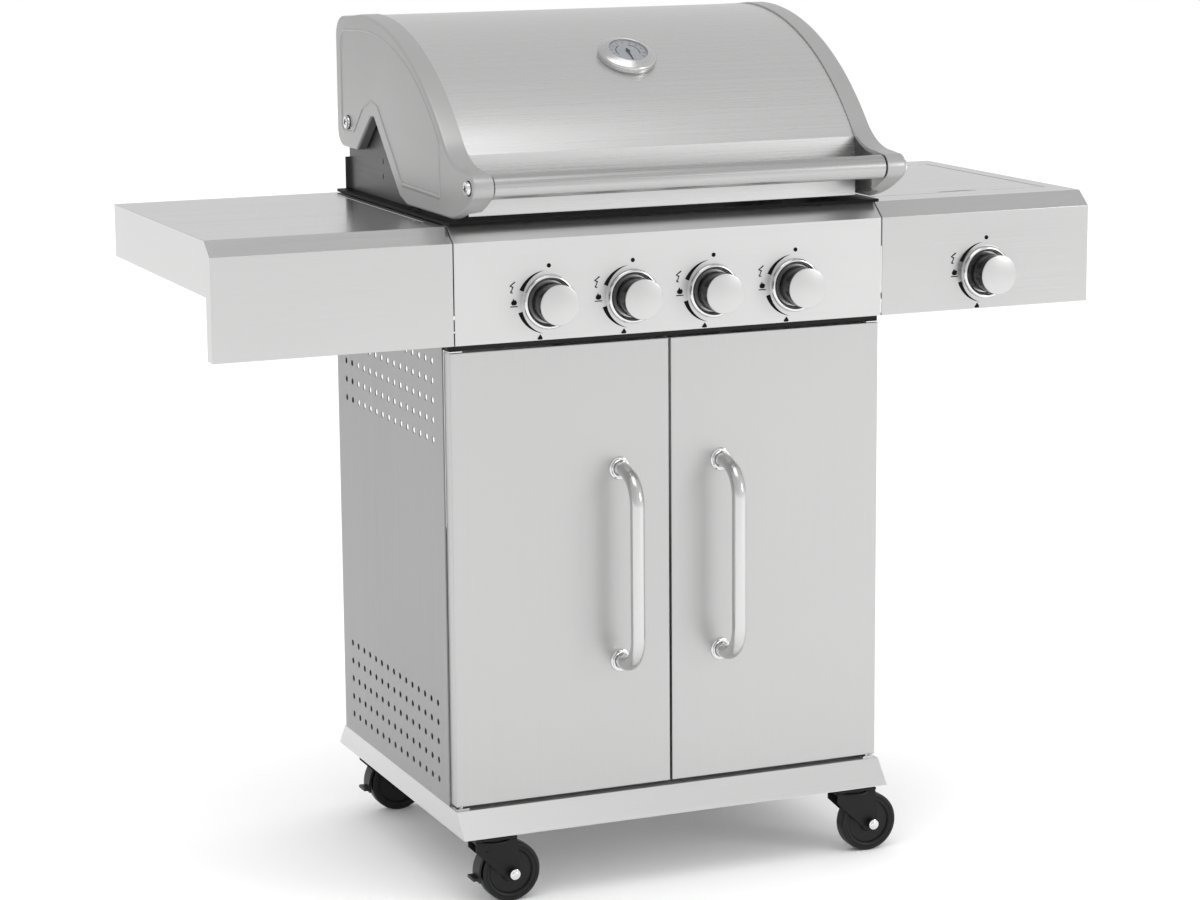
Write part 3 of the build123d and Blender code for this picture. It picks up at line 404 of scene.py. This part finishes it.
# ---------------------------------------------------------------- knobs, bezels and printed marks
PANEL_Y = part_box("control_panel")[0].y
bezel_profile = [(29.2, 0.1), (37.4, 0.1), (37.5, 1.0), (37.2, 3.2), (36.2, 5.2), (34.8, 6.3), (33.4, 6.5),
                 (32.2, 6.0), (31.0, 4.4), (30.0, 2.6), (29.3, 1.6)]
knob_boxes = [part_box(f"knob_{i}") for i in range(1, 6)]
for number, (low, high) in enumerate(knob_boxes, start=1):
    middle = (low + high) / 2
    centre = Vector((middle.x, PANEL_Y, middle.z))
    toward = (0, -1, 0)
    bezel = piece(f"bezel_{number}", lathe(bezel_profile, centre, toward), chrome, "cart")
    back_h, face_h = (PANEL_Y - high.y) / MM, (PANEL_Y - low.y) / MM
    side_profile = [(0, back_h), (26.6, back_h), (27.3, back_h + 0.8), (27.4, back_h + 7.0),
                    (26.9, back_h + 7.4), (26.9, back_h + 8.4), (27.4, back_h + 8.8),
                    (27.0, face_h - 2.2), (26.2, face_h - 1.5), (0, face_h - 1.5)]
    skirt = piece(f"knob_side_{number}", lathe(side_profile, centre, toward, closed=False), knob_black,
                  f"knob_{number}")
    face_profile = [(0, face_h - 1.4), (26.4, face_h - 1.4), (27.4, face_h - 1.6), (27.5, face_h - 1.0),
                    (27.1, face_h - 0.35), (26.2, face_h - 0.1), (0, face_h)]
    piece(f"knob_face_{number}", lathe(face_profile, centre, toward, closed=False), knob_disc,
          f"knob_{number}")
    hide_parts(f"knob_{number}")
    right_axis, up_axis = (1, 0, 0), (0, 0, 1)
    on_panel = centre + Vector((0, -0.0001, 0))
    marks = [
        ("off_dot", [(3.0 * cos(a), 49 + 3.0 * sin(a)) for a in (2 * pi * k / 24 for k in range(24))]),
        ("spark_arc", ring_arc(40.0, 46.4, 100, 157, taper=True)),
        ("flame_arc", ring_arc(40.0, 46.4, 258, 196, taper=True)),
        ("spark", [(-48.0, 29.0), (-54.5, 24.5), (-51.0, 23.2), (-54.2, 15.5), (-52.6, 16.0), (-52.0, 14.4),
                   (-55.6, 14.6), (-55.8, 18.0), (-54.9, 17.0), (-53.0, 22.0), (-57.0, 24.4), (-49.4, 30.2)]),
        ("flame", [(-51.2, 7.4), (-49.6, 4.4), (-48.0, 5.2), (-46.4, 2.4), (-46.8, -0.4), (-48.6, -1.8),
                   (-52.8, -1.8), (-54.6, -0.2), (-54.6, 2.4), (-52.8, 4.6)]),
        ("flame_base", [(-56.0, -3.0), (-45.4, -3.0), (-45.4, -4.4), (-56.0, -4.4)][::-1]),
        ("low_flame", [(-13.6, -43.2), (-11.4, -46.0), (-10.0, -49.0), (-11.2, -50.4), (-16.8, -50.4),
                       (-17.8, -48.8), (-15.8, -46.2)]),
    ]
    for label, outline in marks:
        piece(f"{label}_{number}", slab(outline, on_panel, right_axis, up_axis, 0.15), print_black_and_recess_shade, "cart")
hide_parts("knob_bezels")


# ---------------------------------------------------------------- thermometer
gauge_joint = next(j for j in frame["joints"] if j["name"] == "thermometer_needle_turn")
gauge_at, gauge_axis = Vector(gauge_joint["pos_m"]), Vector(gauge_joint["axis"])
case_profile = [(0, -2.6), (38.0, -2.6), (39.6, -1.2), (41.0, 0.6), (41.2, 6.0), (40.6, 8.0), (39.2, 9.2),
                (33.0, 11.8), (29.0, 13.2), (28.2, 13.5), (27.4, 13.2), (27.0, 12.2), (27.0, 9.1), (0, 9.1)]
case = piece("gauge_case", lathe(case_profile, gauge_at, gauge_axis, closed=False), steel_case, "lid")
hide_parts("thermometer")
gauge_u, gauge_v = Vector((1, 0, 0)), Vector(gauge_axis).cross(Vector((1, 0, 0)))
piece("gauge_dial", lathe([(0, 9.2), (27.0, 9.2), (27.0, 9.5), (0, 9.5)], gauge_at, gauge_axis, closed=False),
      dial_white, "lid")
piece("gauge_glass", lathe([(0, 12.2), (27.2, 12.0), (27.2, 12.8), (0, 13.2)], gauge_at, gauge_axis,
                           closed=False), glass, "lid")
dial_at = gauge_at + gauge_axis * 9.45 * MM
for number in range(11):
    a = radians(215 - number * 25)
    along, across = (cos(a), sin(a)), (-sin(a), cos(a))
    corners = [(r * along[0] + s * across[0], r * along[1] + s * across[1])
               for r, s in ((20.5, -0.4), (24.5, -0.4), (24.5, 0.4), (20.5, 0.4))]
    piece(f"gauge_tick_{number}", slab(corners, dial_at, gauge_u, gauge_v, 0.15), print_black_and_recess_shade, "lid")
for label, span in (("low_zone", (205, 120)), ("high_zone", (70, -20))):
    piece(f"gauge_{label}", slab(ring_arc(16.4, 17.6, *span), dial_at, gauge_u, gauge_v, 0.15), print_black_and_recess_shade,
          "lid")
piece("gauge_hub", lathe([(0, 10.7), (3.0, 10.7), (3.0, 11.3), (2.2, 11.8), (0, 11.9)], gauge_at, gauge_axis,
                         closed=False), print_black_and_recess_shade, "lid")


# ---------------------------------------------------------------- handles
def bow_path(x, y0, reach, z0, z1, bend, steps=14):
    """Out from the door, round a bend, straight down, round a bend and back."""
    points = [Vector((x, y0, z1)), Vector((x, y0 - reach + bend, z1))]
    for i in range(1, steps + 1):
        a = pi / 2 * i / steps
        points.append(Vector((x, y0 - reach + bend - bend * sin(a), z1 - bend + bend * cos(a))))
    for i in range(steps + 1):
        a = pi / 2 * i / steps
        points.append(Vector((x, y0 - reach + bend - bend * cos(a), z0 + bend - bend * sin(a))))
    points.append(Vector((x, y0, z0)))
    return points


ROSETTE = [(9.0, 0.0), (16.0, 0.0), (16.0, 1.2), (15.2, 2.6), (13.8, 3.2), (12.6, 2.9), (11.8, 3.0),
           (10.9, 3.9), (10.2, 3.6), (10.1, 1.0)]
for hand in ("left", "right"):
    low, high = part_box(f"{hand}_door_handle")
    x = (low.x + high.x) / 2
    z0, z1 = low.z + 0.016, high.z - 0.016
    reach = high.y - low.y - 0.010
    bow = piece(f"{hand}_handle_bow", tube(bow_path(x, high.y, reach, z0, z1, 0.044), 0.0098), steel_bow,
                f"{hand}_door")
    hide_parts(f"{hand}_door_handle")
    for label, z in (("upper", z1), ("lower", z0)):
        piece(f"{hand}_rosette_{label}", lathe(ROSETTE, (x, high.y, z), (0, -1, 0), 64), chrome,
              f"{hand}_door")

low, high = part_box("lid_handle")
bar_y, bar_z, half_bar = (low.y + high.y) / 2, (low.z + high.z) / 2, (high.x - low.x) / 2 / MM
bar_profile = [(14.5, -half_bar + 1.5), (15.4, -half_bar + 1.5), (16.0, -half_bar + 2.2),
               (16.0, half_bar - 2.2), (15.4, half_bar - 1.5), (14.5, half_bar - 1.5)]
bar = piece("lid_handle_bar", lathe(bar_profile, (0, bar_y, bar_z), (1, 0, 0), 96), steel_bar, "lid")
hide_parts("lid_handle")
for side in (-1, 1):
    piece(f"handle_ring_{'left' if side < 0 else 'right'}",
          lathe([(10, 0), (15.2, 0), (15.2, 1.8), (10, 1.8)],
                (side * (half_bar - 1.8 if side > 0 else half_bar) * MM, bar_y, bar_z), (1, 0, 0), 64),
          print_black_and_recess_shade, "lid")


# ---------------------------------------------------------------- casters
tread = [(4.1, 7.0), (10.0, 7.0), (11.0, 8.6), (13.6, 8.8), (14.6, 7.4), (22.0, 6.6), (30.0, 7.0),
         (31.2, 9.4), (33.0, 10.8), (35.2, 11.1), (35.8, 10.5), (36.6, 10.5), (37.2, 11.2), (39.4, 11.2),
         (41.4, 10.4), (42.4, 8.6), (42.6, 6.0)]
wheel_profile = tread + [(r, -h) for r, h in reversed(tread)]
bolt_head = [(0, 0), (7.3, 0), (7.3, 1.2), (6.6, 2.0), (5.4, 2.2), (5.2, 3.0), (4.6, 4.2), (2.6, 5.2),
             (0, 5.5)]
for row in ("front", "rear"):
    for hand in ("left", "right"):
        corner = f"{row}_{hand}"
        low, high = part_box(f"{corner}_wheel")
        middle = (low + high) / 2
        wheel = piece(f"{corner}_tyre", lathe(wheel_profile, middle, (0, 1, 0), 96), wheel_black,
                      f"{corner}_wheel")
        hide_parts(f"{corner}_wheel")
        fork_low, fork_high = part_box(f"{corner}_caster_fork")
        for side, y in ((-1, fork_low.y + 0.0005), (1, fork_high.y - 0.0005)):
            piece(f"{corner}_axle_cap_{'front' if side < 0 else 'back'}",
                  lathe([(r, h * 0.5) for r, h in bolt_head], (middle.x, y, middle.z), (0, side, 0), 48,
                        closed=False), chrome, f"{corner}_caster")

# ---------------------------------------------------------------- lid end caps
CAP_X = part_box("right_lid_cap")[1].x / MM
LID_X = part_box("lid_skin")[1].x / MM
ARC_Y, ARC_Z, ARC_R = 357.6, 750.8, 442.8
BAR_Y, BAR_Z = (bar_y - DOOR_Y) / MM, bar_z / MM
NOSE_R = 17.5


def circle_through(a, b, c, steps):
    """Points on the circle from a by way of b to c, without its first point."""
    ax, ay, bx, by, cx, cy = *a, *b, *c
    d = 2 * (ax * (by - cy) + bx * (cy - ay) + cx * (ay - by))
    a2, b2, c2 = ax * ax + ay * ay, bx * bx + by * by, cx * cx + cy * cy
    ux = (a2 * (by - cy) + b2 * (cy - ay) + c2 * (ay - by)) / d
    uy = (a2 * (cx - bx) + b2 * (ax - cx) + c2 * (bx - ax)) / d
    r = sqrt((ax - ux) ** 2 + (ay - uy) ** 2)
    start, via, end = (atan2(y - uy, x - ux) for x, y in (a, b, c))
    turn = (end - start) % (2 * pi)
    if (via - start) % (2 * pi) > turn:
        turn -= 2 * pi
    return [(ux + r * cos(start + turn * i / steps), uy + r * sin(start + turn * i / steps))
            for i in range(1, steps + 1)]


def rounded(corners, steps=7):
    """Closed outline whose (y, z, radius) corners are rounded."""
    points = []
    for i, (y, z, r) in enumerate(corners):
        if not r:
            points.append((y, z))
            continue
        here = Vector((y, z))
        before = (Vector(corners[i - 1][:2]) - here).normalized()
        after = (Vector(corners[(i + 1) % len(corners)][:2]) - here).normalized()
        half = before.angle(after) / 2
        reach = r / sin(half) * cos(half)
        start, end = here + before * reach, here + after * reach
        middle = here + (before + after).normalized() * (r / sin(half) - r)
        points.append(tuple(start))
        points += circle_through(tuple(start), tuple(middle), tuple(end), steps)
    return points


def inset(points, distance):
    """Closed outline moved inward by a small distance."""
    moved = []
    for i, (y, z) in enumerate(points):
        one = Vector((y, z)) - Vector(points[i - 1])
        two = Vector(points[(i + 1) % len(points)]) - Vector((y, z))
        n1, n2 = Vector((-one.y, one.x)).normalized(), Vector((-two.y, two.x)).normalized()
        shift = (n1 + n2) / max(1 + n1.dot(n2), 0.3) * distance
        moved.append((y + shift.x, z + shift.y))
    return moved


def over_lid(y):
    return ARC_Z + sqrt(ARC_R ** 2 - (y - ARC_Y) ** 2)


def nose_point(degrees_up):
    return (BAR_Y + NOSE_R * cos(radians(degrees_up)), BAR_Z + NOSE_R * sin(radians(degrees_up)))


cap_outline = rounded([(0, 943.5, 0), (172, 943.5, 14), (202, 953, 10), (306, 1053, 7), (318, 1053, 7),
                       (382, 1001, 12), (467, 1001, 25), (467, 1187.5, 30), (423, 1188, 0)])
cap_outline += [(y, over_lid(y)) for y in (361 - i * 331 / 40 for i in range(41))]
cap_outline += circle_through((30, over_lid(30)), (2, 1025), (-50, 1010.5), 12)
cap_outline += [nose_point(a) for a in range(84, 241, 6)]
cap_outline += circle_through(nose_point(240), (-44, 957), (0, 943.5), 10)[:-1]

deep_line = [(-36, 975), (0, 1008), (40, 1040), (150, 1125), (330, 1168), (435, 1166), (600, 1166)]


def rim_end(y, z):
    """Inner end of the cap's edge: deep along the nose and the top, shallow below."""
    if y < deep_line[0][0]:
        return LID_X + 0.2
    for (y0, z0), (y1, z1) in zip(deep_line, deep_line[1:]):
        if y0 <= y <= y1 and z > z0 + (z1 - z0) * (y - y0) / (y1 - y0):
            return LID_X + 0.2
    return CAP_X - 14


def ring_stack(rings, side):
    """Closed mesh over a list of rings of (x, y, z) points, with flat ends."""
    mesh = bmesh.new()
    made = [[mesh.verts.new((side * x * MM, DOOR_Y + y * MM, z * MM)) for x, y, z in ring] for ring in rings]
    for one, two in zip(made, made[1:]):
        for i in range(len(one)):
            j = (i + 1) % len(one)
            mesh.faces.new((one[i], one[j], two[j], two[i]))
    mesh.faces.new(made[0])
    mesh.faces.new(made[-1])
    return mesh


def flat_ring(points, x):
    return [(x, y, z) for y, z in points]


EDGE_R = 4.5
emboss = rounded([(38, 965, 4), (189, 967.5, 10), (222, 1002, 0), (261, 1040, 0), (288, 1068, 12),
                  (316, 1074, 14), (350, 1062, 14), (392, 1024, 14), (446, 1022, 14), (446, 1170, 22),
                  (338, 1174, 0), (303, 1172.5, 0), (267, 1167.7, 0), (239, 1162, 0), (212, 1154, 0),
                  (178, 1143, 0), (146, 1128.5, 0), (113, 1109, 0), (82, 1086, 0), (60, 1066, 0), (38, 1042, 12)])
ridge = rounded([(40, 966.5, 2.4), (187, 969, 2.4), (187, 974.5, 2.4), (40, 972, 2.4)], 4)
for side, hand in ((-1, "left"), (1, "right")):
    rings = []
    for i in range(7):
        a = pi / 2 * i / 6
        rings.append(flat_ring(inset(cap_outline, EDGE_R * (1 - sin(a))), CAP_X - EDGE_R * (1 - cos(a))))
    rings.append([(rim_end(y, z), y, z) for y, z in cap_outline])
    inner = inset(cap_outline, 5.0)
    rings.append([(rim_end(y, z), *p) for (y, z), p in zip(cap_outline, inner)])
    rings.append(flat_ring(inner, CAP_X - 3.5))
    cap = piece(f"{hand}_cap_casting", ring_stack(rings, side), cast_cap, "lid", 50)
    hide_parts(f"{hand}_lid_cap")
    nose = [p for p in inset(cap_outline, 4.6) if p[0] < -34.5]
    piece(f"{hand}_cap_nose", ring_stack([flat_ring(nose, CAP_X - 3.0), flat_ring(nose, LID_X + 0.3)], side),
          cast_cap, "lid")
    bead = [flat_ring(inset(emboss, d), CAP_X + h) for d, h in
            ((0, -0.3), (0.5, 0.5), (1.3, 1.1), (2.5, 1.1), (3.3, 0.5), (3.8, -0.3))]
    mesh = bmesh.new()
    made = [[mesh.verts.new((side * x * MM, DOOR_Y + y * MM, z * MM)) for x, y, z in ring] for ring in bead]
    for one, two in zip(made, made[1:] + made[:1]):
        for i in range(len(one)):
            j = (i + 1) % len(one)
            mesh.faces.new((one[i], one[j], two[j], two[i]))
    piece(f"{hand}_cap_bead", mesh, cast_cap, "lid", 60)
    low_ridge = [flat_ring(ridge, CAP_X - 0.4), flat_ring(ridge, CAP_X + 0.6),
                 flat_ring(inset(ridge, 1.0), CAP_X + 1.9), flat_ring(inset(ridge, 2.0), CAP_X + 2.3)]
    piece(f"{hand}_cap_ridge", ring_stack(low_ridge, side), cast_cap, "lid", 60)
    hinge = next(j for j in frame["joints"] if j["name"] == "lid_hinge")
    hinge_y, hinge_z = hinge["pos_m"][1], hinge["pos_m"][2]
    piece(f"{hand}_cap_boss", lathe([(4.4, 0), (13, 0), (13, 12.8), (12.2, 13.4), (4.4, 13.4)],
                                    (side * (CAP_X - 3) * MM, hinge_y, hinge_z), (-side, 0, 0), 48), cast_cap,
          "lid")
    for label, y, z in (("hinge", hinge_y, hinge_z), ("grip", bar_y, bar_z)):
        head = [(0, 0), (8.9, 0), (8.9, 1.0), (8.5, 3.0), (7.2, 4.6), (5.0, 5.4), (0, 5.8)]
        at = Vector((side * CAP_X * MM, y, z))
        piece(f"{hand}_{label}_screw", lathe(head, at, (side, 0, 0), 48, closed=False), chrome, "lid")
        # The cross recess in each screw head is not cut: a thin black cross laid on the head is painted shade of
        # the recess.
        for turn in (0.4, 0.4 + pi / 2):
            along, across = (cos(turn), sin(turn)), (-sin(turn), cos(turn))
            bar_of_cross = [(a * along[0] + b * across[0], a * along[1] + b * across[1])
                            for a, b in ((-4.2, -0.8), (4.2, -0.8), (4.2, 0.8), (-4.2, 0.8))]
            top = at + Vector((side * 5.45 * MM, 0, 0))
            piece(f"{hand}_{label}_slot_{int(turn * 10)}",
                  slab(bar_of_cross, top, (0, side, 0), (0, 0, 1), 0.45), print_black_and_recess_shade, "lid")
        piece(f"{hand}_{label}_washer",
              lathe([(8.6, 0.1), (10.4, 0.1), (10.4, 0.5), (8.6, 0.7)], at, (side, 0, 0), 48), rim_black_and_gap_shadow,
              "lid")


# ---------------------------------------------------------------- shelf details
shelf_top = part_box("left_shelf")[1].z
# Small raised stampings along the left shelf's inner edge, pressed in the shelf steel but given brighter chrome
# as a painted highlight on their edges.
mesh = bmesh.new()
for i in range(54):
    y = DOOR_Y + (69 + 7.0 * i) * MM
    corners = [(-0.3298, y), (-0.3282, y), (-0.3282, y + 0.0048), (-0.3298, y + 0.0048)]
    low = [mesh.verts.new((a, b, shelf_top - 0.0001)) for a, b in corners]
    mid = [mesh.verts.new((a, b, shelf_top + 0.0002)) for a, b in corners]
    high = [mesh.verts.new((a + (-0.329 - a) * 0.4, b + (y + 0.0024 - b) * 0.2, shelf_top + 0.0005))
            for a, b in corners]
    for one, two in ((low, mid), (mid, high)):
        for k in range(4):
            j = (k + 1) % 4
            mesh.faces.new((one[k], one[j], two[j], two[k]))
    mesh.faces.new(low)
    mesh.faces.new(high)
piece("left_shelf_stamping_glint", mesh, chrome, "cart")
cover_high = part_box("side_burner_cover")[1]
well_right = cover_high.x / MM + 3.0
# Near-black strip laid in the gap along the cover's right edge: painted shadow of the gap under the raised rim.
strip = [(cover_high.x / MM + 0.4, 66), (well_right - 0.3, 66), (well_right - 0.3, 416),
         (cover_high.x / MM + 0.4, 416)]
piece("cover_gap_shadow", slab(strip, (0, DOOR_Y, cover_high.z - 0.0022), (1, 0, 0), (0, 1, 0), 0.6, 0.2), rim_black_and_gap_shadow,
      "cart")
# The finger scoop at the cover's front is not recessed: a thin dark crescent laid on the flat cover is painted
# shade of the scoop.
crescent = [(484.5 + 31 * cos(a), 74 + 3.4 * sin(a)) for a in (pi * i / 24 for i in range(25))]
crescent += [(484.5 - 29 + 58 * i / 20, 74 - 0.9 * sin(pi * i / 20)) for i in range(1, 20)]
piece("cover_finger_notch_shade", slab(crescent, (0, DOOR_Y, cover_high.z), (1, 0, 0), (0, 1, 0), 0.12), wing_grey,
      "side_burner_cover")
